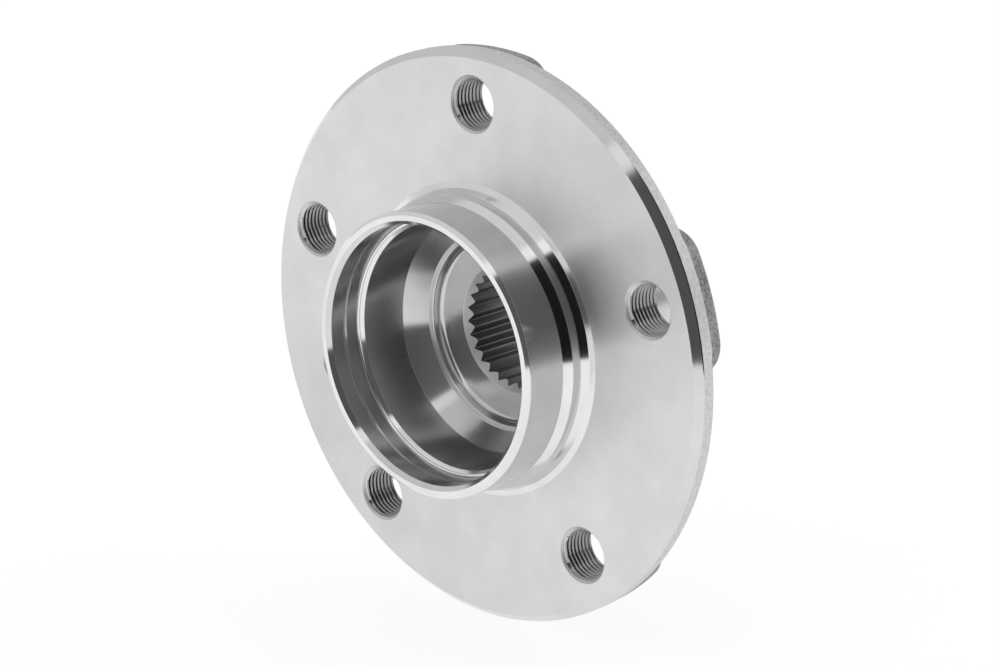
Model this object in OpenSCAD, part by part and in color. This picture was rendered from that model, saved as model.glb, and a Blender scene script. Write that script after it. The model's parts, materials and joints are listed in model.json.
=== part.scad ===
// Driven wheel hub with five threaded wheel-bolt holes, carried in a sealed
// double-row angular-contact ball bearing. The hub's axis is Y: outboard, where
// the wheel goes, is -Y, inboard is +Y and +Z is up. The origin is on the axis
// in the plane of the wheel seat. Depths are measured inboard from that plane.

/* [Flange] */
// Outside diameter of the flange
flange_d = 146.6; // [140:0.1:160]
// Thickness of the turned rim
rim_t = 5.0; // [4.6:0.1:5.6]
// Front edge chamfer of the rim
rim_chamfer = 1.9; // [0.5:0.1:2.5]
// Rear edge chamfer of the rim
rim_back_chamfer = 1.0; // [0.4:0.1:1.2]
// Thickness of the lobes around the wheel bolts
lobe_t = 10.6; // [9.6:0.1:12]
// Width of a lobe on its back face
lobe_w = 35.6; // [30:0.2:37]
// Distance from the lobe ends to the rim's outside surface
lobe_setback = 0.2; // [0.2:0.1:3]
// Plan radius of the lobe corners
lobe_corner_r = 8.0; // [5:0.5:9]
// Forging draft of the lobe flanks, in degrees
lobe_draft = 9; // [3:1:12]
// Rounding of the lobes' back edges
lobe_edge_r = 2.9; // [0.5:0.1:3.2]

/* [Wheel bolts] */
// Number of wheel bolts
bolt_count = 5; // [3:1:6]
// Distance from the bolts' pitch circle to the flange's outside surface
bolt_edge = 13.3; // [12:0.1:16]
// Nominal thread diameter of the wheel bolts
bolt_d = 14; // [12:0.5:15]
// Thread pitch of the wheel bolts
bolt_pitch = 1.25; // [1.25:0.25:1.5]
// Countersink diameter at the wheel seat
bolt_sink_d = 14.7; // [14.2:0.1:16.5]
// Angle of the first wheel bolt above the +X axis, in degrees
bolt_angle = 20.56; // [-36:0.01:36]

/* [Disc screw] */
// Radius on which the brake disc's locating screw sits
screw_r = 54.5; // [50:0.5:60]
// Nominal thread diameter of the locating screw
screw_d = 8; // [6:0.5:10]
// Thread pitch of the locating screw
screw_pitch = 1.25; // [1:0.25:1.25]
// Countersink diameter of the locating screw hole
screw_sink_d = 8.7; // [8.2:0.1:11.5]

/* [Spigot] */
// Height of the spigot above the wheel seat
spigot_h = 19.4; // [17:0.1:24]
// Diameter that centres the wheel
wheel_pilot_d = 72.5; // [72:0.1:73.5]
// Diameter that centres the brake disc
disc_pilot_d = 75.0; // [74.6:0.1:77]
// Height of the disc pilot above the wheel seat
disc_pilot_h = 5.0; // [4:0.1:6.5]
// Length of the lead cone between the two pilots
lead_h = 2.3; // [1.2:0.1:3.5]
// Fillet at the foot of the spigot
foot_fillet = 1.6; // [0.5:0.1:2.4]
// Outer chamfer of the spigot's nose
nose_chamfer = 0.85; // [0.3:0.05:1.0]
// Inner chamfer of the spigot's nose
mouth_chamfer = 1.05; // [0.5:0.05:1.4]

/* [Recess] */
// Bore that takes the dust cap
cap_bore_d = 66.0; // [64:0.1:68]
// Depth of the cap bore from the nose
cap_bore_l = 10.4; // [9:0.1:12]
// Distance from the nose to the shallow groove in the cap bore
cap_groove_l = 5.2; // [3:0.1:7]
// Width of the shallow groove
cap_groove_w = 1.1; // [0.5:0.1:1.5]
// Width of the ledge that stops the dust cap
ledge_w = 0.8; // [0.5:0.1:1.5]
// Radial size of the lead chamfer below the ledge
ledge_chamfer = 0.6; // [0.3:0.05:0.9]
// Height of the lead chamfer below the ledge
ledge_chamfer_h = 1.2; // [0.6:0.1:1.6]
// Small diameter of the tapered bore that clears the nut's socket
socket_d = 60.2; // [57:0.1:61]
// Depth of the tapered bore's small end below the wheel seat
socket_depth = 4.0; // [3:0.1:5]
// Small diameter of the cone under the tapered bore
cone_d = 51.8; // [50:0.1:53]
// Depth of the cone's small end
cone_depth = 9.2; // [8.4:0.1:9.6]
// Diameter of the axle nut's well
nut_well_d = 49.0; // [47:0.1:50.5]
// Fillet at the foot of the well
nut_well_fillet = 1.5; // [0.5:0.1:2]
// Depth of the axle nut's seat
nut_seat_depth = 12.2; // [11.6:0.1:12.4]

/* [Spline] */
// Number of spline grooves
spline_n = 27; // [24:1:30]
// Diameter over the groove bottoms
spline_major_d = 31.3; // [30.8:0.1:31.6]
// Diameter over the tooth lands
spline_minor_d = 29.3; // [28.8:0.1:29.8]
// Width of a tooth land
spline_land = 0.5; // [0.3:0.05:0.8]
// Mouth diameter of the spline's lead chamfer
spline_mouth_d = 33.0; // [32.4:0.1:34]

/* [Barrel] */
// Diameter of the bearing seat
barrel_d = 40; // [39.4:0.1:40.6]
// Depth of the shoulder that the bearing seats on
shoulder_depth = 16; // [15.6:0.1:17]
// Diameter of the shoulder
shoulder_d = 49.2; // [47:0.1:50]
// Diameter of the boss where it leaves the web
boss_d = 74; // [70:0.5:80]
// Length of bearing left free past the barrel's end
barrel_short = 0.5; // [0.3:0.1:1.5]
// Lead chamfer of the barrel's end
barrel_chamfer = 1.0; // [0.5:0.1:1.5]

/* [Bearing] */
// Wall of the outer ring outside its seal seats
ring_wall = 2.6; // [2.2:0.1:3.2]
// Width of the bearing
bearing_w = 30; // [29:0.1:31]
// Edge chamfer of the outer ring
ring_chamfer = 1.0; // [0.5:0.1:1.4]
// Ball diameter
ball_d = 7.938; // [7.6:0.001:8.1]
// Balls in each row
balls_per_row = 15; // [10:1:16]
// Distance of each ball row from the bearing's middle
row_offset = 7.2; // [6.9:0.1:7.4]
// Running gap between a ball and its grooves
ball_gap = 0.06; // [0.02:0.01:0.10]
// Distance from the ball pitch circle to the high shoulders
shoulder_drop = 1.85; // [1.7:0.05:2.2]
// Height of the low shoulders over the groove bottoms
low_lip = 0.35; // [0.2:0.05:0.6]
// Running gap of a ball in its cage pocket
pocket_gap = 0.13; // [0.08:0.01:0.2]
// Radial thickness of a cage
cage_t = 3.4; // [2.6:0.1:3.6]
// How far the cage claws reach past the ball centres
claw_reach = 1.5; // [1:0.1:1.9]
// Thickness of a cage's back
cage_back_t = 2.1; // [1.5:0.1:2.3]
// Radial thickness of the clip that joins the inner rings
clip_t = 1.05; // [0.8:0.05:1.2]
// Width of the clip
clip_w = 5.0; // [3:0.1:6]

/* [Seals] */
// Bore diameter of the outer ring's seal seats
seal_seat_d = 62.8; // [62.4:0.1:63.2]
// Depth of a seal in the bearing
seal_w = 3.3; // [3.1:0.1:3.5]
// Sheet thickness of the seal carriers and slingers
sheet_t = 0.6; // [0.4:0.05:0.7]
// Setback of the seals from the bearing's faces
seal_setback = 0.2; // [0.1:0.05:0.3]
// Gap between a seal lip and its slinger
lip_gap = 0.10; // [0.05:0.01:0.2]

/* [Hidden] */
$fn = 96;
// largest rounding error that the joints of cuts are carried past
over = 1;
// points along each rounded corner
corner_steps = 8;
// width of the small roundings that break sharp edges
edge_break = 0.15;

flange_r = flange_d / 2;
web_t = rim_t + rim_back_chamfer;
lobe_end_r = flange_r - lobe_setback;
bolt_pcd = flange_d - 2 * bolt_edge;
wheel_pilot_r = wheel_pilot_d / 2;
disc_pilot_r = disc_pilot_d / 2;
cap_r = cap_bore_d / 2;
ledge_h = spigot_h - cap_bore_l;
socket_r = socket_d / 2;
ledge_r = cap_r - ledge_w;
socket_mouth_r = ledge_r - ledge_chamfer;
cap_groove_t = 0.2;
nut_well_r = nut_well_d / 2;
// fall of the shelf between the cone and the nut's well
shelf_fall = 0.25;
spline_major_r = spline_major_d / 2;
spline_minor_r = spline_minor_d / 2;
spline_mouth_r = spline_mouth_d / 2;
// radius at which the flanks of two neighbouring grooves would meet
spline_pitch = 360 * spline_minor_r / spline_n * PI / 180;
flank_slope = (spline_major_r - spline_minor_r) / ((spline_pitch - spline_land) / 2);
spline_point_r = spline_minor_r - flank_slope * spline_land / 2;

barrel_r = barrel_d / 2;
shoulder_r = shoulder_d / 2;
boss_r = boss_d / 2;
boss_fillet = 6;
barrel_end = shoulder_depth + bearing_w - barrel_short;
relief_w = 1.6;
relief_t = 0.3;

seal_seat_r = seal_seat_d / 2;
bearing_r = seal_seat_r + ring_wall;
bearing_mid = shoulder_depth + bearing_w / 2;
pitch_r = (barrel_r + bearing_r) / 2;
ball_r = ball_d / 2;
groove_r = ball_r + ball_gap;
inner_high_r = pitch_r - shoulder_drop;
inner_low_r = pitch_r - groove_r + low_lip;
outer_high_r = pitch_r + shoulder_drop;
outer_low_r = pitch_r + groove_r - low_lip;
clip_gap = 0.15;
clip_r = barrel_r + clip_gap + clip_t;
clip_seat_r = clip_r + clip_gap;
clip_seat_w = clip_w + 2 * clip_gap;
pocket_r = ball_r + pocket_gap;
cage_out_r = outer_high_r - 0.45;
cage_in_r = cage_out_r - cage_t;
cage_back = pocket_r + cage_back_t;

carrier_in_r = seal_seat_r - sheet_t;
slinger_out_r = inner_high_r + sheet_t;
slinger_rim_r = carrier_in_r - 0.2;
// the rubber's foot on the plate and its lip share the room between the sheets
carrier_plate_r = slinger_out_r + 0.376 * (carrier_in_r - slinger_out_r);
foot_w = 0.7 * (carrier_in_r - carrier_plate_r);

// a direction of length one
function unit(v) = v / norm(v);

// the arc of radius r that rounds the corner b between a and c
function corner(a, b, c, r) =
    let (u = unit(a - b), v = unit(c - b), half = acos(u * v) / 2)
    let (m = b + unit(u + v) * r / sin(half), run = r / tan(half))
    let (from = b + u * run - m, to = b + v * run - m)
    let (t0 = atan2(from[1], from[0]), t1 = atan2(to[1], to[0]))
    let (sweep = (t1 - t0 + 540) % 360 - 180)
    [for (i = [0:corner_steps]) m + r * [cos(t0 + sweep * i / corner_steps),
                                        sin(t0 + sweep * i / corner_steps)]];

// an outline from [x, y, rounding] corners; a rounding of 0 stays sharp
function outline(p) = [for (i = [0:len(p) - 1])
    let (n = len(p), b = p[i], a = p[(i + n - 1) % n], c = p[(i + 1) % n])
    each b[2] > 0 ? corner([a[0], a[1]], [b[0], b[1]], [c[0], c[1]], b[2])
                  : [[b[0], b[1]]]];

// turns a shape built along Z, outboard up, onto the hub's axis
module on_axis() { rotate([90, 0, 0]) children(); }

// a ring turned from its half section, x outwards and y outboard
module turned(points) { rotate_extrude() polygon(outline(points)); }

// mirrors the outboard half of the bearing to the inboard side
module bearing_side(inboard) {
    translate([0, 0, -bearing_mid]) mirror([0, 0, inboard ? 1 : 0]) children();
}

// the hub's turned form, without lobes, bolt holes and spline grooves
module hub_turning() {
    e = edge_break;
    groove_h = spigot_h - cap_groove_l - cap_groove_w;
    turned([
        [cap_r + mouth_chamfer, spigot_h, e], [wheel_pilot_r - nose_chamfer, spigot_h, e],
        [wheel_pilot_r, spigot_h - nose_chamfer, e], [wheel_pilot_r, disc_pilot_h + lead_h, e],
        [disc_pilot_r, disc_pilot_h, e], [disc_pilot_r, 0, foot_fillet],
        [flange_r - rim_chamfer, 0, e], [flange_r, -rim_chamfer, e],
        [flange_r, -rim_t, e], [flange_r - rim_back_chamfer, -web_t, e],
        [boss_r, -web_t, boss_fillet],
        [shoulder_r + 3, 1.3 - shoulder_depth, 2],
        [shoulder_r, 1.3 - shoulder_depth, 0.4],
        [shoulder_r, -shoulder_depth, e], [barrel_r - relief_t, -shoulder_depth, 0],
        [barrel_r - relief_t, -shoulder_depth - relief_w, 0], [barrel_r, -shoulder_depth - relief_w, 0],
        [barrel_r, -barrel_end + barrel_chamfer, e], [barrel_r - barrel_chamfer, -barrel_end, e],
        [spline_major_r + 0.6, -barrel_end, 0],
        [spline_minor_r, -barrel_end + 0.6 + spline_major_r - spline_minor_r, 0],
        [spline_minor_r, spline_minor_r - spline_mouth_r - nut_seat_depth, 0],
        [spline_mouth_r, -nut_seat_depth, e], [nut_well_r, -nut_seat_depth, nut_well_fillet],
        [nut_well_r, -cone_depth - shelf_fall, 0.4], [cone_d / 2, -cone_depth, e],
        [socket_r, -socket_depth, e], [socket_mouth_r, ledge_h - ledge_chamfer_h, e],
        [ledge_r, ledge_h, e], [cap_r, ledge_h, 0.3],
        [cap_r, groove_h, 0], [cap_r + cap_groove_t, groove_h + 0.4 * cap_groove_w, 0],
        [cap_r + cap_groove_t, groove_h + 0.6 * cap_groove_w, 0], [cap_r, groove_h + cap_groove_w, 0],
        [cap_r, spigot_h - mouth_chamfer, e]
    ]);
}

// one forged lobe along +X, from inside the boss wall to the rim's outside:
// its flanks lean with the draft, and the plan corners and back edges are round
module lobe() {
    root = -rim_t / 2;
    lean = tan(lobe_draft);
    top_w = lobe_w / 2;
    root_w = top_w + (lobe_t + root) * lean;
    wall = 1.4;
    start_r = cone_d / 2 - wall;
    corner_at = [lobe_end_r, top_w] - lobe_corner_r * [1, 1];
    first_a = 20;
    step_a = (90 - 2 * first_a) / 3;
    arc = [for (i = [0:3]) corner_at
        + lobe_corner_r * [cos(first_a + i * step_a), sin(first_a + i * step_a)]];
    end_point = arc[0] + lobe_corner_r / 2 * [sin(first_a), -cos(first_a)];
    side_point = arc[3] + lobe_corner_r * [-cos(first_a), sin(first_a)];
    half_plan = concat([[start_r, side_point[1]], side_point], [for (i = [3:-1:0]) arc[i]], [end_point]);
    last = len(half_plan) - 1;
    intersection() {
        translate([0, 0, -lobe_t - over]) linear_extrude(lobe_t + over + root)
            polygon(concat(half_plan, [for (i = [last:-1:0]) [half_plan[i][0], -half_plan[i][1]]]));
        rotate([90, 0, 90]) translate([0, 0, start_r]) linear_extrude(flange_r)
            polygon(outline([[-root_w, root, 0], [-top_w, -lobe_t, lobe_edge_r],
                             [top_w, -lobe_t, lobe_edge_r], [root_w, root, 0]]));
        turned([[socket_r + wall, root, 0], [lobe_end_r, root, 0], [lobe_end_r, -lobe_t, lobe_edge_r],
                [cone_d / 2 + wall, -lobe_t, 0], [cone_d / 2 + wall, -cone_depth, 0],
                [socket_r + wall, -socket_depth, 0]]);
    }
}

// a countersunk tapped hole from the wheel seat inboard; its thread is cut as
// rings, so that the thread's crests stay one true bore
module tapped_hole(thread_d, pitch, sink_d, wall) {
    minor_r = thread_d / 2 - 0.5413 * pitch;
    sink = sink_d / 2 - minor_r;
    first = sink + 0.3 * pitch;
    turns = floor((wall - first) / pitch);
    translate([0, 0, -wall - over]) cylinder(h = wall + 2 * over, r = minor_r);
    translate([0, 0, -sink]) cylinder(h = sink + over, r1 = minor_r, r2 = sink_d / 2 + over);
    for (i = [0:turns - 1]) translate([0, 0, -first - (i + 0.5) * pitch]) rotate_extrude()
        polygon([[minor_r - 0.3, -0.375 * pitch], [minor_r, -0.375 * pitch],
                 [thread_d / 2, -pitch / 16], [thread_d / 2, pitch / 16],
                 [minor_r, 0.375 * pitch], [minor_r - 0.3, 0.375 * pitch]]);
}

// the spline's pointed grooves, cut along the barrel from the nut seat
module spline_grooves() {
    translate([0, 0, -barrel_end - over]) linear_extrude(barrel_end + over - nut_seat_depth)
        polygon([for (i = [0:2 * spline_n - 1])
            let (r = i % 2 == 0 ? spline_major_r : spline_point_r, a = 180 * i / spline_n)
            [r * cos(a), r * sin(a)]]);
}

module hub_flange() {
    step = 360 / bolt_count;
    color("silver") on_axis() difference() {
        union() {
            hub_turning();
            for (i = [0:bolt_count - 1]) rotate([0, 0, bolt_angle + i * step]) lobe();
        }
        for (i = [0:bolt_count - 1]) rotate([0, 0, bolt_angle + i * step])
            translate([bolt_pcd / 2, 0, 0]) tapped_hole(bolt_d, bolt_pitch, bolt_sink_d, lobe_t);
        rotate([0, 0, bolt_angle + step * (floor(bolt_count / 2) + 0.5)]) translate([screw_r, 0, 0])
            tapped_hole(screw_d, screw_pitch, screw_sink_d, web_t);
        spline_grooves();
    }
}

// the ring-shaped groove that the balls of one row run in
module ball_groove() {
    translate([0, 0, row_offset]) rotate_extrude() translate([pitch_r, 0]) circle(r = groove_r);
}

module bearing_outer_ring() {
    half = bearing_w / 2;
    seat = half - seal_setback - seal_w;
    color("lightgray") on_axis() bearing_side(false) difference() {
        turned([
            [bearing_r - ring_chamfer, half, edge_break], [bearing_r, half - ring_chamfer, edge_break],
            [bearing_r, ring_chamfer - half, edge_break], [bearing_r - ring_chamfer, -half, edge_break],
            [seal_seat_r, -half, edge_break], [seal_seat_r, -seat, 0], [outer_low_r, -seat, 0],
            [outer_low_r, -row_offset, 0], [outer_high_r, -row_offset, 0],
            [outer_high_r, row_offset, 0], [outer_low_r, row_offset, 0],
            [outer_low_r, seat, 0], [seal_seat_r, seat, 0], [seal_seat_r, half, edge_break]
        ]);
        ball_groove();
        mirror([0, 0, 1]) ball_groove();
    }
}

// an inner ring reaches from the bearing's middle plane to its face
module inner_ring(inboard) {
    half = bearing_w / 2;
    color("lightgray") on_axis() bearing_side(inboard) difference() {
        turned([
            [barrel_r, half, 0.5], [inner_high_r, half, edge_break],
            [inner_high_r, row_offset, 0], [inner_low_r, row_offset, 0], [inner_low_r, 0, edge_break],
            [clip_seat_r, 0, 0], [clip_seat_r, clip_seat_w / 2, 0], [barrel_r, clip_seat_w / 2, 0]
        ]);
        ball_groove();
    }
}

// the clip lies half in each inner ring and holds the pair together
module inner_ring_clip() {
    color("dimgray") on_axis() bearing_side(false) difference() {
        translate([0, 0, -clip_w / 2]) cylinder(h = clip_w, r = clip_r);
        translate([0, 0, -clip_w / 2 - over]) cylinder(h = clip_w + 2 * over, r = barrel_r + clip_gap);
    }
}

// a moulded snap cage: a back ring with claws between the balls
module cage(inboard) {
    color("darkslategray") on_axis() bearing_side(inboard) translate([0, 0, row_offset]) difference() {
        turned([[cage_in_r, claw_reach, 0.4], [cage_out_r, claw_reach, 0.4],
                [cage_out_r, -cage_back, 0.4], [cage_in_r, -cage_back, 0.4]]);
        for (i = [1:balls_per_row]) rotate([0, 0, i * 360 / balls_per_row])
            translate([pitch_r, 0, 0]) sphere(r = pocket_r);
    }
}

module ball(inboard, i) {
    color("gainsboro") on_axis() bearing_side(inboard)
        rotate([0, 0, i * 360 / balls_per_row]) translate([pitch_r, 0, row_offset]) sphere(r = ball_r);
}

// pressed sheet ring in the outer ring's seal seat, with a plate facing inwards
module seal_carrier(inboard) {
    front = bearing_w / 2 - seal_setback;
    color("gray") on_axis() bearing_side(inboard)
        turned([[carrier_in_r, front, 0], [seal_seat_r, front, edge_break],
                [seal_seat_r, front - seal_w, sheet_t * 0.9], [carrier_plate_r, front - seal_w, 0],
                [carrier_plate_r, front - seal_w + sheet_t, 0],
                [carrier_in_r, front - seal_w + sheet_t, sheet_t / 3]]);
}

// pressed sheet ring on the inner ring's shoulder, with a plate facing outwards
module slinger(inboard) {
    front = bearing_w / 2 - seal_setback;
    back = front - seal_w + 0.2;
    color("gainsboro") on_axis() bearing_side(inboard)
        turned([[inner_high_r, back, 0], [inner_high_r, front, sheet_t * 0.9],
                [slinger_rim_r, front, edge_break], [slinger_rim_r, front - sheet_t, 0],
                [slinger_out_r, front - sheet_t, sheet_t / 3], [slinger_out_r, back, 0]]);
}

// rubber moulded round the carrier's plate edge, with one lip on the slinger's
// sleeve and one on its plate
module seal_lip(inboard) {
    front = bearing_w / 2 - seal_setback;
    plate = front - seal_w + sheet_t;
    root_r = carrier_plate_r;
    lip_r = slinger_out_r + lip_gap;
    lip_top = front - sheet_t - lip_gap;
    color("black") on_axis() bearing_side(inboard)
        turned([[lip_r, plate - sheet_t + 0.1, 0.1], [root_r, plate - sheet_t, 0], [root_r, plate, 0],
                [root_r + foot_w, plate, 0], [root_r + foot_w, plate + 0.35, 0.1],
                [root_r + foot_w / 2, plate + 0.45, 0.2], [root_r + 0.9 * foot_w, lip_top, 0.1],
                [root_r + 0.9 * foot_w - 0.5, lip_top, 0.1], [root_r + 0.1, plate + 0.6, 0.3],
                [lip_r + 0.5, plate + 0.5, 0.2], [lip_r + 0.35, plate + 0.9, 0.1],
                [lip_r, plate + 0.7, 0.1], [lip_r + 0.6, plate, 0.2]]);
}

hub_flange();
bearing_outer_ring();
inner_ring(false);  // inner_ring_outboard
inner_ring(true);  // inner_ring_inboard
inner_ring_clip();
cage(false);  // cage_outboard
cage(true);  // cage_inboard
seal_carrier(false);  // seal_carrier_outboard
seal_carrier(true);  // seal_carrier_inboard
seal_lip(false);  // seal_lip_outboard
seal_lip(true);  // seal_lip_inboard
slinger(false);  // slinger_outboard
slinger(true);  // slinger_inboard
for (i = [1:balls_per_row]) {
    ball(false, i);
    ball(true, i);
}
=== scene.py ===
# A driven wheel hub in its bearing, standing on its rim on a white table.
import json
import math

import bpy
import numpy as np
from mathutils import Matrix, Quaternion, Vector


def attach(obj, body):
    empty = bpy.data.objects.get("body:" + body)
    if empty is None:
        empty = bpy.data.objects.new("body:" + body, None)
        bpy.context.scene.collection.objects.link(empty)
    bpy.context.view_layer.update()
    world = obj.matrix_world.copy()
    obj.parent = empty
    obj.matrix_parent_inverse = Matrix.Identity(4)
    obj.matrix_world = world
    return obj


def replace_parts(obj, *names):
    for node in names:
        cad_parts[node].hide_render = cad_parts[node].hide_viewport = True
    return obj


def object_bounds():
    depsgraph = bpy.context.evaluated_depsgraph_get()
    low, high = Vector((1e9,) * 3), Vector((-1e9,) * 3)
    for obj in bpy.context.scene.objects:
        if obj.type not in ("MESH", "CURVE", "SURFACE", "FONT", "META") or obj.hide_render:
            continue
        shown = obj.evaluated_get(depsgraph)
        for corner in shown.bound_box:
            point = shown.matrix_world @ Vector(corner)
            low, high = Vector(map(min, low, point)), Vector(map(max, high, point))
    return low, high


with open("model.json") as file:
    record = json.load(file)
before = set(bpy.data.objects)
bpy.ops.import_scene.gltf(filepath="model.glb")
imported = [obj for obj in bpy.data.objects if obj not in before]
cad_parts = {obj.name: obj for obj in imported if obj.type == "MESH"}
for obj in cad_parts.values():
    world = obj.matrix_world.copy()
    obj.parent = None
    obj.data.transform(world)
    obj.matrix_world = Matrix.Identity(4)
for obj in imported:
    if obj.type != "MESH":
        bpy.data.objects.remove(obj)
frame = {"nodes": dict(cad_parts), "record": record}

cad_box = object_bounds()
MM = 0.001

# The camera: aim point and distance in mm, angles in degrees
AIM_MM = (3.88, 4.45, 1.66)
DISTANCE_MM = 874.9
AZIMUTH, ELEVATION, ROLL = 43.505, 18.498, 1.02
LENS_MM, SENSOR_MM = 126.45, 36.0

# The table: how far it reaches to the left, the front and the back, and its right edge.
# Past that edge the studio's dark end shows in the steel. A glow of 1 is white.
TABLE_REACH_MM, TABLE_EDGE_MM = 3000.0, 640.0
GLOW_SHARE, GLOW = 0.7, 1.2

# Directions from the hub, of about length one: to the studio's dark end, and to a grey stand
DARK_END, STAND = (0.901, -0.092, -0.422), (0.70, 0.69, 0.18)

# The hub, in mm and degrees; y runs inboard from the wheel seat, and the nose is at -19.4
BOLT_ANGLE, BOLT_COUNT, BOLT_CIRCLE_R = 20.56, 5, 60.0
BOLT_R, BOLT_MINOR_R, BOLT_SINK_R = 7.0, 6.323, 7.35
SCREW_R, SCREW_MINOR_R, SCREW_SINK_R, SCREW_AT = 4.0, 3.323, 4.35, 54.5
SCREW_ANGLE = BOLT_ANGLE + 180.0
THREAD_PITCH = 1.25
SINK_DEPTH, MOUTH_DEPTH = 1.4, 0.9
SPLINE_TEETH, SPLINE_MINOR_R, SPLINE_MAJOR_R, SPLINE_LAND = 27, 14.65, 15.65, 0.5
LOBE_HALF_W, LOBE_END_R, LOBE_CORNER_R, LOBE_EDGE_R = 17.8, 73.1, 8.0, 2.9
LOBE_T, LOBE_DRAFT = 10.6, 9.0
# A lobe's flanks are straight over its first two depths. Its root follows the boss: the radius
# holds down to ROOT_FROM and then falls by ROOT_FALL for each mm. Its half arc is in radians.
LOBE_DEPTHS = (2.5, 5.6)
ROOT_R, ROOT_MIN_R, ROOT_FROM, ROOT_FALL, ROOT_HALF_ARC = 31.6, 27.2, 4.0, 0.88, 0.55

# How finely things are turned, and the angle in degrees from which an edge is drawn sharp
HUB_SEGMENTS, HOLE_SEGMENTS, SINK_SEGMENTS, SHARP_ANGLE = 360, 72, 96, 26

# The line that is turned round the axis to make the hub: (radius, y, corner radius)
HUB_PROFILE = [
    # the nose ring, the wheel's pilot, the lead, the disc's pilot and its two-step foot
    (34.05, -19.4, 0.15), (35.4, -19.4, 0.15), (36.25, -18.55, 0.25), (36.25, -7.3, 0.3),
    (37.5, -5.0, 0.3), (37.5, -2.4, 0.4), (38.6, -0.42, 0.25), (40.15, 0.0, 0.5),
    # the wheel seat, the rim, the back of the flange and the foot of the barrel
    (71.4, 0.0, 0.2), (73.3, 1.9, 0.7), (73.3, 5.0, 0.25), (72.3, 6.0, 0.3), (37.0, 6.0, 6.0),
    (27.6, 14.7, 2.0), (24.6, 14.7, 0.0), (24.6, 16.0, 0.12), (19.7, 16.0, 0.1), (19.7, 17.6, 0.1),
    # the barrel, the bore of the spline and its mouth
    (20.0, 17.6, 0.08), (20.0, 44.5, 0.2), (19.0, 45.5, 0.2), (16.25, 45.5, 0.12),
    (14.65, 43.9, 0.0), (14.65, 14.05, 0.0), (16.5, 12.2, 0.15),
    # the nut's seat and well, the cone, the tapered socket and the ledge
    (24.5, 12.2, 1.5), (24.5, 9.45, 0.4), (25.9, 9.2, 0.15), (30.1, 4.0, 0.2), (31.55, -8.25, 0.1),
    (32.3, -9.0, 0.08), (33.0, -9.0, 0.6),
    # the cap's bore with its shallow groove
    (33.0, -13.05, 0.3), (33.27, -13.6, 0.2), (33.0, -14.2, 0.3), (33.0, -18.35, 0.15)]


def rounded(corners, step=11.0):
    """A line through (a, b, radius) corners. A corner with a radius becomes the
    arc that touches both its sides: its middle lies radius / sin(half angle)
    along the bisector, and its points turn about it in steps of `step` degrees."""
    line = []
    for i, (a, b, radius) in enumerate(corners):
        here = np.array((a, b))
        if radius == 0:
            line.append(here[None])
            continue
        before = np.array(corners[i - 1][:2]) - here
        after = np.array(corners[(i + 1) % len(corners)][:2]) - here
        u = before / np.linalg.norm(before)
        v = after / np.linalg.norm(after)
        half = math.acos(float(np.clip(u @ v, -1, 1))) / 2
        middle = here + (u + v) / np.linalg.norm(u + v) * radius / math.sin(half)
        start = here + u * radius / math.tan(half) - middle
        end = here + v * radius / math.tan(half) - middle
        turn = math.atan2(start[0] * end[1] - start[1] * end[0], start @ end)
        count = max(3, int(abs(math.degrees(turn)) / step) + 2)
        k = np.linspace(0, turn, count)[:, None]
        across = np.array((-start[1], start[0]))
        line.append(middle + start * np.cos(k) + across * np.sin(k))
    return np.concatenate(line)


def quads(number):
    """The quads between neighbouring rows and columns of a table of point numbers."""
    return np.stack([number[:-1, :-1], number[1:, :-1], number[1:, 1:], number[:-1, 1:]], -1).reshape(-1, 4)


def lathe(profile, segments):
    """A closed (r, y) line carried round the Y axis: x = r cos t, z = r sin t."""
    t = np.arange(segments) * 2 * math.pi / segments
    r, y = profile[:, 0][:, None], profile[:, 1][:, None]
    points = np.stack([r * np.cos(t), y + 0 * t, r * np.sin(t)], -1)
    number = np.arange(points[..., 0].size).reshape(points.shape[:2])
    number = np.pad(number, ((0, 1), (0, 1)), mode="wrap")
    return points.reshape(-1, 3), quads(number).tolist()


def stacked(outlines):
    """Outlines, a (levels, points, 3) array, joined level to level and closed
    by a flat face at both ends: a prism whose outline may change on its way."""
    number = np.arange(outlines[..., 0].size).reshape(outlines.shape[:2])
    walls = quads(np.pad(number, ((0, 0), (0, 1)), mode="wrap"))
    ends = [number[0].tolist(), number[-1, ::-1].tolist()]
    return outlines.reshape(-1, 3), walls.tolist() + ends


def cone(r1, y1, r2, y2):
    """A cone frustum about the Y axis: x = r cos t, z = r sin t at two heights."""
    t = np.arange(SINK_SEGMENTS) * 2 * math.pi / SINK_SEGMENTS
    r, y = np.array([[r1], [r2]]), np.array([[y1], [y2]])
    return stacked(np.stack([r * np.cos(t), y + 0 * t, r * np.sin(t)], -1))


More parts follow.
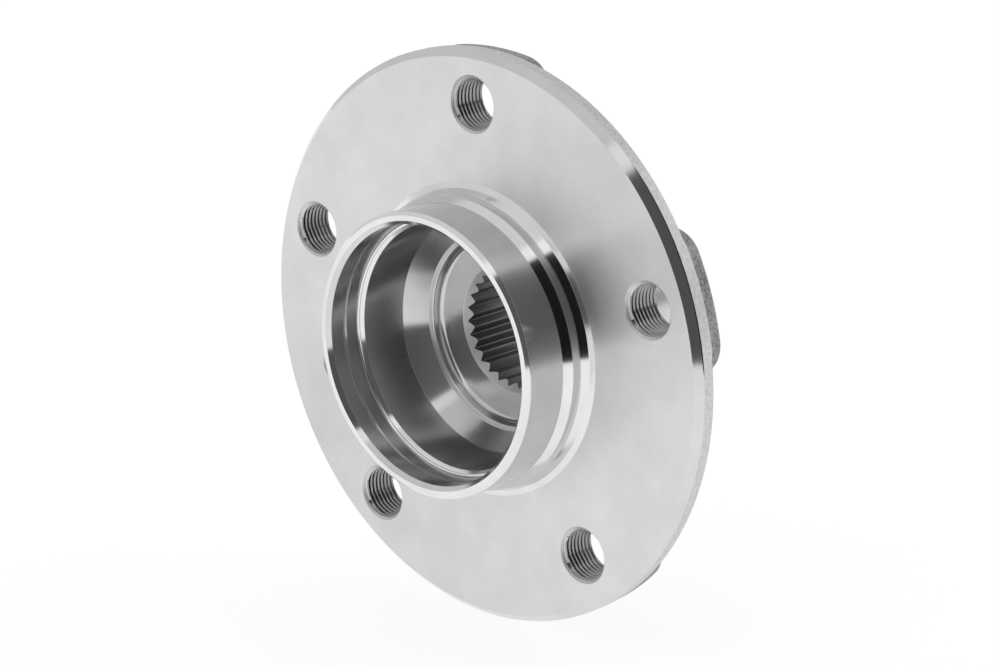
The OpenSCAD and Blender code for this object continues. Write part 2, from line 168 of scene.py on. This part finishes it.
def tap(minor_r, major_r, pitch, low, high):
    """The space of a tapped hole: x = r cos t, z = r sin t, where r follows a
    60 degree thread form of the height y / pitch - t / 360, so that the rows
    climb one pitch in a turn and each row's end meets the row a turn above."""
    segments = HOLE_SEGMENTS
    # the form over one pitch: a crest of a quarter, a root of an eighth, and two even flanks
    part = np.array([0.0, 0.125, 0.4375, 0.5625, 0.875])
    form_r = np.array([minor_r, minor_r, major_r, major_r, minor_r])
    rows = len(part)
    turns = math.ceil((high - low) / pitch) + 1
    levels = turns * rows
    t = np.arange(segments) / segments
    r = np.tile(form_r, turns)[:, None]
    y = low + pitch * (np.repeat(np.arange(turns), rows) + np.tile(part, turns) - 1)[:, None]
    wall = np.stack([r * np.cos(2 * math.pi * t), y + pitch * t, r * np.sin(2 * math.pi * t)], -1)
    seam = np.stack([form_r, low + pitch * (turns - 1 + part), 0 * part], -1)
    ends = np.array([[0, low - pitch, 0], [0, low + pitch * turns, 0]])
    points = np.concatenate([wall.reshape(-1, 3), seam, ends])
    number = np.arange(levels * segments).reshape(levels, segments)
    meets = np.concatenate([number[rows:, 0], levels * segments + np.arange(rows)])
    number = np.concatenate([number, meets[:, None]], 1)
    foot_ring = np.concatenate([number[0], number[rows - 1:0:-1, 0]])
    head_ring = np.concatenate([number[-1], number[-2:-1 - rows:-1, -1]])
    foot = np.stack([0 * foot_ring + len(points) - 2, foot_ring, np.roll(foot_ring, -1)], -1)
    head = np.stack([np.roll(head_ring, -1), head_ring, 0 * head_ring + len(points) - 1], -1)
    return points, quads(number).tolist() + foot.tolist() + head.tolist()


def spline_star(low, high):
    """The spline's grooves as one star: the radius is inside the lands at a
    tooth's middle, the lands' own at its edge, and rises over the groove to the
    major radius at its round tip; angle = (tooth + part) x 360 / 27."""
    pitch = 2 * math.pi / SPLINE_TEETH
    inner, depth = SPLINE_MINOR_R - 0.6, SPLINE_MAJOR_R - SPLINE_MINOR_R
    edge = -0.5 + 0.5 * SPLINE_LAND / SPLINE_MINOR_R / pitch
    # a flank bows a little: 36% of the depth at 62% of its way out, and 74% at 28%
    part = np.array([-0.5, edge - 0.02, edge, edge * 0.62, edge * 0.28, -0.04, 0.0])
    r = np.array([inner, inner, SPLINE_MINOR_R, SPLINE_MINOR_R + 0.36 * depth,
                  SPLINE_MINOR_R + 0.74 * depth, SPLINE_MAJOR_R - 0.02, SPLINE_MAJOR_R])
    part = np.concatenate([part, -part[-2:0:-1]])
    r = np.concatenate([r, r[-2:0:-1]])
    angle = pitch * (np.arange(SPLINE_TEETH)[:, None] + part)
    flat = np.stack([r * np.cos(angle), 0 * angle, r * np.sin(angle)], -1).reshape(-1, 3)
    return stacked(flat + np.array([[[0, low, 0]], [[0, high, 0]]]))


def lobe(angle):
    """A forged lobe along `angle`. Its plan has an inner arc, straight flanks,
    round corners and a round end; at height y its half width is the top's plus
    (top - y) tan(draft), and over the edge round it shrinks by R (1 - cos a)."""
    a = np.radians(np.linspace(0, 90, 9))
    y = np.concatenate([LOBE_DEPTHS, LOBE_T - LOBE_EDGE_R * (1 - np.sin(a))])[:, None]
    off = np.concatenate([[0.0, 0.0], LOBE_EDGE_R * (1 - np.cos(a))])[:, None]
    half = LOBE_HALF_W + (LOBE_T - y) * math.tan(math.radians(LOBE_DRAFT)) - off
    end, corner = LOBE_END_R - off, LOBE_CORNER_R - 0.6 * off
    side = half - corner
    along = np.sqrt((end - corner) ** 2 - side ** 2)
    tip = np.arctan2(side, along)
    inner = np.where(y < ROOT_FROM, ROOT_R, np.maximum(ROOT_MIN_R, ROOT_R - (y - ROOT_FROM) * ROOT_FALL))
    s = np.linspace(-ROOT_HALF_ARC, ROOT_HALF_ARC, 11)
    narrow = np.minimum(1.0, half / (inner * math.sin(ROOT_HALF_ARC)))
    start = np.stack([inner * np.cos(s), inner * np.sin(s) * narrow], -1)
    b = math.pi / 2 + (tip - math.pi / 2) * np.linspace(0, 1, 14)
    top = np.stack([along + corner * np.cos(b), side + corner * np.sin(b)], -1)
    c = tip * np.linspace(1, -1, 20)[1:-1]
    far = np.stack([end * np.cos(c), end * np.sin(c)], -1)
    plan = np.concatenate([start, top, far, top[:, ::-1] * (1, -1)], 1)
    u, v = plan[..., 0], plan[..., 1]
    turn = math.radians(angle)
    x, z = u * math.cos(turn) - v * math.sin(turn), u * math.sin(turn) + v * math.cos(turn)
    return stacked(np.stack([x, y + 0 * x, z], -1))


def solid(name, surface, shift=(0.0, 0.0, 0.0)):
    """A mesh object from (points in mm, faces) with its faces outwards: the sum
    of a . (b x c) over its triangles, six times its volume, has to be positive."""
    points, faces = surface
    points = (points + np.array(shift)) * MM
    me = bpy.data.meshes.new(name)
    me.from_pydata(points.tolist(), [], faces)
    me.calc_loop_triangles()
    corners = np.empty(len(me.loop_triangles) * 3, np.int32)
    me.loop_triangles.foreach_get("vertices", corners)
    a, b, c = points[corners].reshape(-1, 3, 3).transpose(1, 0, 2)
    if np.einsum("ij,ij->", a, np.cross(b, c)) < 0:
        me.flip_normals()
    ob = bpy.data.objects.new(name, me)
    bpy.context.scene.collection.objects.link(ob)
    return ob


def combine(ob, other, operation):
    """Bakes one boolean step into `ob` and drops the other solid."""
    step = ob.modifiers.new("step", "BOOLEAN")
    step.object = other
    step.operation = operation
    step.solver = "MANIFOLD"
    result = bpy.data.meshes.new_from_object(ob.evaluated_get(bpy.context.evaluated_depsgraph_get()))
    ob.modifiers.remove(step)
    ob.data = result
    bpy.data.objects.remove(other)


def make_hub():
    """The turned body with its five lobes, six tapped holes and the spline. Gives
    the object and the holes as (x, z, countersink radius)."""
    hub = solid("hub_visual", lathe(rounded(HUB_PROFILE), HUB_SEGMENTS))
    bolt_angles = [BOLT_ANGLE + k * 360.0 / BOLT_COUNT for k in range(BOLT_COUNT)]
    holes = []
    for angle in bolt_angles:
        combine(hub, solid("lobe", lobe(angle)), "UNION")
        holes.append((angle, BOLT_CIRCLE_R, BOLT_MINOR_R, BOLT_R, BOLT_SINK_R))
    holes.append((SCREW_ANGLE, SCREW_AT, SCREW_MINOR_R, SCREW_R, SCREW_SINK_R))
    places = []
    for angle, at, minor, major, sink in holes:
        x, z = at * math.cos(math.radians(angle)), at * math.sin(math.radians(angle))
        thread = tap(minor, major, THREAD_PITCH, -2.0, LOBE_T + 2.0)
        combine(hub, solid("thread", thread, (x, 0.0, z)), "DIFFERENCE")
        sink_cone = cone(sink + 1.0, -1.0, sink - SINK_DEPTH, SINK_DEPTH)
        combine(hub, solid("sink", sink_cone, (x, 0.0, z)), "DIFFERENCE")
        places.append((x, z, sink))
    combine(hub, solid("spline", spline_star(9.0, 50.0)), "DIFFERENCE")
    return hub, places


ZONES = ("turned", "polished", "faced", "bored", "forged", "tapped", "sunk", "broached", "ground",
         "skimmed")


def zones(hub, places):
    """Sorts the hub's faces by the tool that cut them, from where they lie: by
    radius r, depth y, and facing, the share of their normal that is along the
    axis. A face that no line names is turned, and a later line overrules."""
    me = hub.data
    n = len(me.polygons)
    centre, normal = np.empty(n * 3), np.empty(n * 3)
    me.polygons.foreach_get("center", centre)
    me.polygons.foreach_get("normal", normal)
    centre, normal = centre.reshape(-1, 3) / MM, normal.reshape(-1, 3)
    x, y, z = centre.T
    r, facing = np.hypot(x, z), np.abs(normal[:, 1])
    # the radius outside which the forged skin was left, from the web to the boss's end
    skin_r = np.interp(y, (5.1, 9.0, 10.6, 14.85), (40.0, 27.5, 26.9, 25.0))
    slot = np.zeros(n, np.int32)
    slot[(np.abs(y) < 0.02) & (r > 39.0)] = ZONES.index("faced")
    slot[(r < 33.3) & (y > -18.3) & (y < 14.0)] = ZONES.index("bored")
    slot[(r > 31.5) & (r < 33.01) & (y > -9.61) & (y < -8.2)] = ZONES.index("polished")
    slot[(r > 34.1) & (r < 36.2) & (y < -18.6)] = ZONES.index("polished")
    slot[(r > 36.2) & (r < 37.55) & (y > -7.4) & (y < -4.9)] = ZONES.index("polished")
    slot[(r > 37.6) & (r < 40.3) & (y > -2.3) & (y < -0.02)] = ZONES.index("polished")
    slot[(y > 5.1) & (y < 14.85) & (r > skin_r)] = ZONES.index("forged")
    slot[(y > 14.85) & (r > 16.3)] = ZONES.index("ground")
    slot[(y > 2.0) & (y < 5.6) & (r > 72.5)] = ZONES.index("skimmed")
    for hole_x, hole_z, sink in places:
        away = np.hypot(x - hole_x, z - hole_z)
        slot[(away < sink + 0.02) & (facing < 0.95)] = ZONES.index("tapped")
        slot[(away < sink + 0.02) & (y < MOUTH_DEPTH) & (facing < 0.95)] = ZONES.index("sunk")
    slot[(r < 16.6) & (y > 12.1) & (y < 14.1) & (np.abs(facing - 0.707) < 0.05)] = ZONES.index("sunk")
    slot[(r < 15.75) & (y > 12.9) & (y < 45.4) & (facing < 0.5)] = ZONES.index("broached")
    me.polygons.foreach_set("material_index", slot)
    me.polygons.foreach_set("use_smooth", np.ones(n, bool))


def linear(hex_colour):
    """An sRGB hex colour as linear RGBA."""
    s = np.array([int(hex_colour[i:i + 2], 16) for i in (1, 3, 5)]) / 255
    rgb = np.where(s <= 0.04045, s / 12.92, ((s + 0.055) / 1.055) ** 2.4)
    return (*rgb.tolist(), 1.0)


def add(tree, kind, settings=None, **links):
    """Adds a node, sets its properties and links or fills its inputs; iN is
    input number N, and any other name is an input's name."""
    node = tree.nodes.new(kind)
    for key, value in (settings or {}).items():
        setattr(node, key, value)
    for key, value in links.items():
        numbered = key[0] == "i" and key[1:].isdigit()
        socket = node.inputs[int(key[1:])] if numbered else node.inputs[key.replace("_", " ")]
        if isinstance(value, bpy.types.NodeSocket):
            tree.links.new(value, socket)
        else:
            socket.default_value = value
    return node


def new_material(name):
    """A material with an empty tree, its output node and the object position."""
    material = bpy.data.materials.new(name)
    material.use_nodes = True
    tree = material.node_tree
    tree.nodes.clear()
    out = add(tree, "ShaderNodeOutputMaterial")
    return material, tree, out, add(tree, "ShaderNodeTexCoord").outputs["Object"]


def tool_lines(tree, position, lines_per_mm):
    """Noise of the radius and the depth alone: the round lines that a lathe leaves.
    A real feed leaves them 0.1 to 0.2 mm apart. Most are drawn 0.3 to 1 mm apart
    here, as coarse as they need to be to show."""
    xyz = add(tree, "ShaderNodeSeparateXYZ", i0=position)
    flat = add(tree, "ShaderNodeCombineXYZ", i0=xyz.outputs[0], i1=0.0, i2=xyz.outputs[2])
    radius = add(tree, "ShaderNodeVectorMath", {"operation": "LENGTH"}, i0=flat.outputs[0])
    at = add(tree, "ShaderNodeCombineXYZ", i0=radius.outputs["Value"], i1=xyz.outputs[1], i2=0.0)
    return add(tree, "ShaderNodeTexNoise", {"noise_dimensions": "2D"}, Vector=at.outputs[0],
               Scale=lines_per_mm / MM, Detail=3.0, Roughness=0.6).outputs["Fac"]


def metal(name, dark, light, roughness, lines_per_mm, depth_mm, anisotropy=0.0, mottle_mm=12.0):
    """Bare steel with round tool lines about the hub's axis. Its colour drifts
    between `dark` and `light` over some `mottle_mm`, where oil and hands have been."""
    material, tree, out, position = new_material(name)
    lines = tool_lines(tree, position, lines_per_mm)
    bump = add(tree, "ShaderNodeBump", Strength=0.25, Distance=depth_mm * MM, Height=lines)
    film = add(tree, "ShaderNodeTexNoise", Vector=position, Scale=1.0 / (mottle_mm * MM), Detail=3.0,
               Roughness=0.55)
    spread = add(tree, "ShaderNodeMapRange", Value=film.outputs["Fac"], i1=0.35, i2=0.65)
    colour = add(tree, "ShaderNodeMixRGB", i0=spread.outputs[0], i1=linear(dark), i2=linear(light))
    shader = add(tree, "ShaderNodeBsdfPrincipled", Base_Color=colour.outputs[0], Metallic=1.0,
                 Roughness=roughness, Anisotropic=anisotropy, Anisotropic_Rotation=0.25,
                 Normal=bump.outputs[0])
    if anisotropy:
        round_axis = add(tree, "ShaderNodeTangent", {"direction_type": "RADIAL", "axis": "Y"})
        tree.links.new(round_axis.outputs[0], shader.inputs["Tangent"])
    tree.links.new(shader.outputs[0], out.inputs[0])
    return material


def turned_steel():
    """Turned steel: the spigot, the chamfer of its mouth and the rim's chamfer.
    Cut on a lathe with a fine feed; bright, with crisp reflections."""
    return metal("turned_steel", "#D4D4D4", "#DBDBDB", 0.11, 2.0, 0.002, 0.4)


def polished_steel():
    """Polished steel: the nose's face and edge, the ledge, the lead and the pilot's foot.
    Edges broken with fine cloth after turning; the brightest places on the hub."""
    return metal("polished_steel", "#E3E3E3", "#EBEBEB", 0.12, 2.0, 0.001, 0.3)


def skimmed_steel():
    """Skimmed steel: the rim's outside. One coarse cut over the forging; a pale
    matt grey, mottled where the tool tore."""
    return metal("skimmed_steel", "#C6C6C6", "#D8D8D8", 0.38, 1.5, 0.01, mottle_mm=0.9)


def faced_steel():
    """Faced steel: the wheel seat. Turned from the middle out, so fine round
    lines draw the reflections out towards the axis and blur them to a satin."""
    return metal("faced_steel", "#DCDCDC", "#E3E3E3", 0.34, 2.0, 0.003, 0.9)


def bored_steel():
    """Bored steel: the recess. Turned inside with a slim bar, whose round lines
    draw every reflection out along the bore and leave it crisp around it."""
    return metal("bored_steel", "#CCCCCB", "#D6D6D5", 0.2, 1.5, 0.003, 0.85)


def forged_steel():
    """As-forged steel, shot blasted: lobes and the back of the flange.
    Pressed hot in a die and blasted clean; dull dark grey with fine pits. The
    shot's dents, really 0.1 to 0.3 mm wide, are drawn at 0.7 mm so that they show."""
    material, tree, out, position = new_material("forged_steel")
    fine = add(tree, "ShaderNodeTexNoise", Vector=position, Scale=1.4 / MM, Detail=4.0, Roughness=0.7)
    broad = add(tree, "ShaderNodeTexNoise", Vector=position, Scale=0.16 / MM, Detail=3.0)
    mixed = add(tree, "ShaderNodeMath", {"operation": "MULTIPLY_ADD"}, i0=broad.outputs["Fac"],
                i1=0.4, i2=fine.outputs["Fac"])
    ramp = add(tree, "ShaderNodeValToRGB", i0=mixed.outputs[0])
    low, high = ramp.color_ramp.elements
    low.position, low.color = 0.55, linear("#787878")
    high.position, high.color = 0.84, linear("#BEBEBE")
    bump = add(tree, "ShaderNodeBump", Strength=0.6, Distance=0.12 * MM, Height=mixed.outputs[0])
    shader = add(tree, "ShaderNodeBsdfPrincipled", Base_Color=ramp.outputs[0], Metallic=0.75,
                 Roughness=0.55, Normal=bump.outputs[0])
    tree.links.new(shader.outputs[0], out.inputs[0])
    return material


def tapped_steel():
    """Tapped steel: the threads of the bolt and screw holes.
    Cut with a tap and left oily; darker than the turned faces, bright on the crests."""
    return metal("tapped_steel", "#8F8F8E", "#A2A2A1", 0.18, 2.0, 0.004)


def countersunk_steel():
    """Countersunk steel: the mouths of the tapped holes and of the spline.
    Cut with a slow countersink; a pale satin with no clear reflection."""
    return metal("countersunk_steel", "#E0E0DF", "#E8E8E7", 0.55, 3.0, 0.003)


def broached_steel():
    """Broached steel: the grooves of the spline.
    Pulled through in one stroke; dark and streaked along the bore, in streaks
    of 0.2 mm by 5 mm."""
    material, tree, out, position = new_material("broached_steel")
    scaled = add(tree, "ShaderNodeMapping", i0=position, Scale=(1.0, 0.04, 1.0))
    streak = add(tree, "ShaderNodeTexNoise", Vector=scaled.outputs[0], Scale=5.0 / MM, Detail=2.0)
    bump = add(tree, "ShaderNodeBump", Strength=0.3, Distance=0.01 * MM, Height=streak.outputs["Fac"])
    colour = add(tree, "ShaderNodeMixRGB", i0=streak.outputs["Fac"], i1=linear("#5E5E5D"),
                 i2=linear("#7C7C7B"))
    shader = add(tree, "ShaderNodeBsdfPrincipled", Base_Color=colour.outputs[0], Metallic=1.0,
                 Roughness=0.3, Normal=bump.outputs[0])
    tree.links.new(shader.outputs[0], out.inputs[0])
    return material


def ground_steel():
    """Ground steel: the barrel and the bearing's rings.
    Finished with a grinding wheel; smooth and bright, with very fine round lines."""
    return metal("ground_steel", "#CFCECC", "#D7D6D4", 0.2, 6.0, 0.003)


def ball_steel():
    """Bearing steel, lapped: the balls. Lapped between plates; a clean mirror."""
    return metal("ball_steel", "#D8D8D7", "#DCDCDB", 0.05, 1.0, 0.0005)


def sheet_steel():
    """Stainless sheet: seal carriers and slingers. Pressed from strip; satin grey."""
    return metal("sheet_steel", "#AEADAA", "#B8B7B4", 0.32, 1.5, 0.004)


def clip_steel():
    """Spring steel, blued: the clip between the inner rings. Rolled and oil hardened; near black."""
    return metal("clip_steel", "#464547", "#525154", 0.35, 1.5, 0.004)


def moulded(name, dark, light, roughness, grain_mm, depth_mm):
    """A moulded plastic or rubber with a fine skin, slightly mottled."""
    material, tree, out, position = new_material(name)
    grain = add(tree, "ShaderNodeTexNoise", Vector=position, Scale=1.0 / (grain_mm * MM), Detail=3.0)
    bump = add(tree, "ShaderNodeBump", Strength=0.3, Distance=depth_mm * MM, Height=grain.outputs["Fac"])
    colour = add(tree, "ShaderNodeMixRGB", i0=grain.outputs["Fac"], i1=linear(dark), i2=linear(light))
    shader = add(tree, "ShaderNodeBsdfPrincipled", Base_Color=colour.outputs[0], Roughness=roughness,
                 Normal=bump.outputs[0])
    tree.links.new(shader.outputs[0], out.inputs[0])
    return material


def cage_polymer():
    """Polyamide with glass fibre: the ball cages. Injection moulded; warm off-white, slightly waxy."""
    return moulded("cage_polymer", "#BDB088", "#D2C7A5", 0.42, 0.4, 0.01)


def seal_rubber():
    """Nitrile rubber: the seal lips. Moulded onto the carriers; matt black."""
    return moulded("seal_rubber", "#222427", "#2B2D30", 0.6, 0.3, 0.012)


def make_camera():
    """The camera looks at the aim point from the photograph's side, at its tilt."""
    cam = bpy.data.objects.new("camera", bpy.data.cameras.new("camera"))
    bpy.context.scene.collection.objects.link(cam)
    cam.data.lens = LENS_MM
    cam.data.sensor_width = SENSOR_MM
    cam.data.clip_start = 0.01
    cam.data.clip_end = 20
    a, e = math.radians(AZIMUTH), math.radians(ELEVATION)
    back = Vector((math.sin(a) * math.cos(e), -math.cos(a) * math.cos(e), math.sin(e)))
    cam.location = (Vector(AIM_MM) + back * DISTANCE_MM) * MM
    cam.rotation_mode = "QUATERNION"
    cam.rotation_quaternion = (-back).to_track_quat("-Z", "Y") @ Quaternion((0, 0, 1), math.radians(ROLL))
    bpy.context.scene.camera = cam


def side_of(tree, direction, normal, offset, soft):
    """1 where dot(direction, normal) is over `offset`, 0 under it, softly between."""
    dot = add(tree, "ShaderNodeVectorMath", {"operation": "DOT_PRODUCT"}, i0=direction, i1=normal)
    return add(tree, "ShaderNodeMapRange", {"interpolation_type": "SMOOTHSTEP"}, i0=dot.outputs["Value"],
               i1=offset - soft, i2=offset + soft).outputs[0]


def make_world():
    """The studio, by the direction looked in: a pale grey tent; a white strip
    where dot(direction, DARK_END) is over -0.17; a small grey stand where
    dot(direction, STAND) is over 0.994, which is within six degrees of it; and
    the dark end where the first dot is over 0, from 20 degrees under the horizon
    up, in front of the hub's plane or at most 14 degrees behind it, and darker
    towards the hub's back. Bare steel shows that end as its black bands, with the
    strip beside them. The camera itself sees white."""
    world = bpy.data.worlds.new("studio")
    bpy.context.scene.world = world
    world.use_nodes = True
    tree = world.node_tree
    tree.nodes.clear()
    out = add(tree, "ShaderNodeOutputWorld")
    direction = add(tree, "ShaderNodeTexCoord").outputs["Generated"]
    right = side_of(tree, direction, DARK_END, 0.0, 0.02)
    strip = side_of(tree, direction, DARK_END, -0.17, 0.02)
    above = side_of(tree, direction, (0, 0, 1), -0.35, 0.01)
    front = side_of(tree, direction, (0, -1, 0), -0.25, 0.02)
    both = add(tree, "ShaderNodeMath", {"operation": "MULTIPLY"}, i0=right, i1=above)
    dark = add(tree, "ShaderNodeMath", {"operation": "MULTIPLY"}, i0=both.outputs[0], i1=front)
    far = side_of(tree, direction, (0.5, 0.866, 0), 0.0, 0.06)
    room = add(tree, "ShaderNodeMixRGB", i0=far, i1=linear("#5A5A5A"), i2=linear("#1A1A1A"))
    tent = add(tree, "ShaderNodeMixRGB", i0=strip, i1=linear("#DEDEDE"), i2=linear("#FFFFFF"))
    stand = side_of(tree, direction, STAND, 0.994, 0.003)
    back = add(tree, "ShaderNodeMixRGB", i0=stand, i1=tent.outputs[0], i2=linear("#707070"))
    light = add(tree, "ShaderNodeMixRGB", i0=dark.outputs[0], i1=back.outputs[0], i2=room.outputs[0])
    path = add(tree, "ShaderNodeLightPath")
    seen = add(tree, "ShaderNodeMixRGB", i0=path.outputs["Is Camera Ray"], i1=light.outputs[0],
               i2=linear("#FFFFFF"))
    bg = add(tree, "ShaderNodeBackground", Color=seen.outputs[0], Strength=1.0)
    tree.links.new(bg.outputs[0], out.inputs[0])


def make_floor():
    """A wide white table under the hub. Seen directly or in metal it glows a
    little below white and its own diffuse light makes up the rest, so that the
    hub's shadow stays on it; for all other light it is plain white."""
    low = cad_box[0].z
    me = bpy.data.meshes.new("floor")
    far, edge = TABLE_REACH_MM * MM, TABLE_EDGE_MM * MM
    corners = [(-far, -far, low), (edge, -far, low), (edge, far, low), (-far, far, low)]
    me.from_pydata(corners, [], [(0, 1, 2, 3)])
    ob = bpy.data.objects.new("floor", me)
    bpy.context.scene.collection.objects.link(ob)
    material, tree, out, _ = new_material("white_table")
    path = add(tree, "ShaderNodeLightPath")
    camera_or_gloss = add(tree, "ShaderNodeMath", {"operation": "MAXIMUM"},
                          i0=path.outputs["Is Camera Ray"], i1=path.outputs["Is Glossy Ray"])
    seen = add(tree, "ShaderNodeMath", {"operation": "MAXIMUM"}, i0=camera_or_gloss.outputs[0],
               i1=path.outputs["Is Transmission Ray"])
    share = add(tree, "ShaderNodeMath", {"operation": "MULTIPLY"}, i0=seen.outputs[0],
                i1=GLOW_SHARE)
    diffuse = add(tree, "ShaderNodeBsdfDiffuse", Color=linear("#F5F5F5"))
    glow = add(tree, "ShaderNodeEmission", Color=linear("#FFFFFF"), Strength=GLOW)
    mix = add(tree, "ShaderNodeMixShader", i0=share.outputs[0], i1=diffuse.outputs[0], i2=glow.outputs[0])
    tree.links.new(mix.outputs[0], out.inputs[0])
    me.materials.append(material)


make_camera()
make_world()
make_floor()

STEEL = {"turned": turned_steel(), "polished": polished_steel(), "faced": faced_steel(),
         "bored": bored_steel(), "forged": forged_steel(), "tapped": tapped_steel(),
         "sunk": countersunk_steel(), "broached": broached_steel(), "ground": ground_steel(),
         "skimmed": skimmed_steel()}
SLOTS = {"hub_steel": STEEL["turned"], "ring_steel": STEEL["ground"], "ball_steel": ball_steel(),
         "clip_steel": clip_steel(), "cage_polymer": cage_polymer(), "seal_sheet": sheet_steel(),
         "seal_rubber": seal_rubber()}
slot_of = {s["node"]: s["material_slot"] for s in frame["record"]["subparts"]}
for name, node in frame["nodes"].items():
    node.data.materials.clear()
    node.data.materials.append(SLOTS[slot_of[name]])

hub, places = make_hub()
hub.data.materials.clear()
for key in ZONES:
    hub.data.materials.append(STEEL[key])
zones(hub, places)
hub.data.set_sharp_from_angle(angle=math.radians(SHARP_ANGLE))
weighted = hub.modifiers.new("normals", "WEIGHTED_NORMAL")
weighted.keep_sharp = True
weighted.weight = 60
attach(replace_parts(hub, "hub_flange"), "hub")
bpy.context.scene.view_settings.view_transform = "Standard"
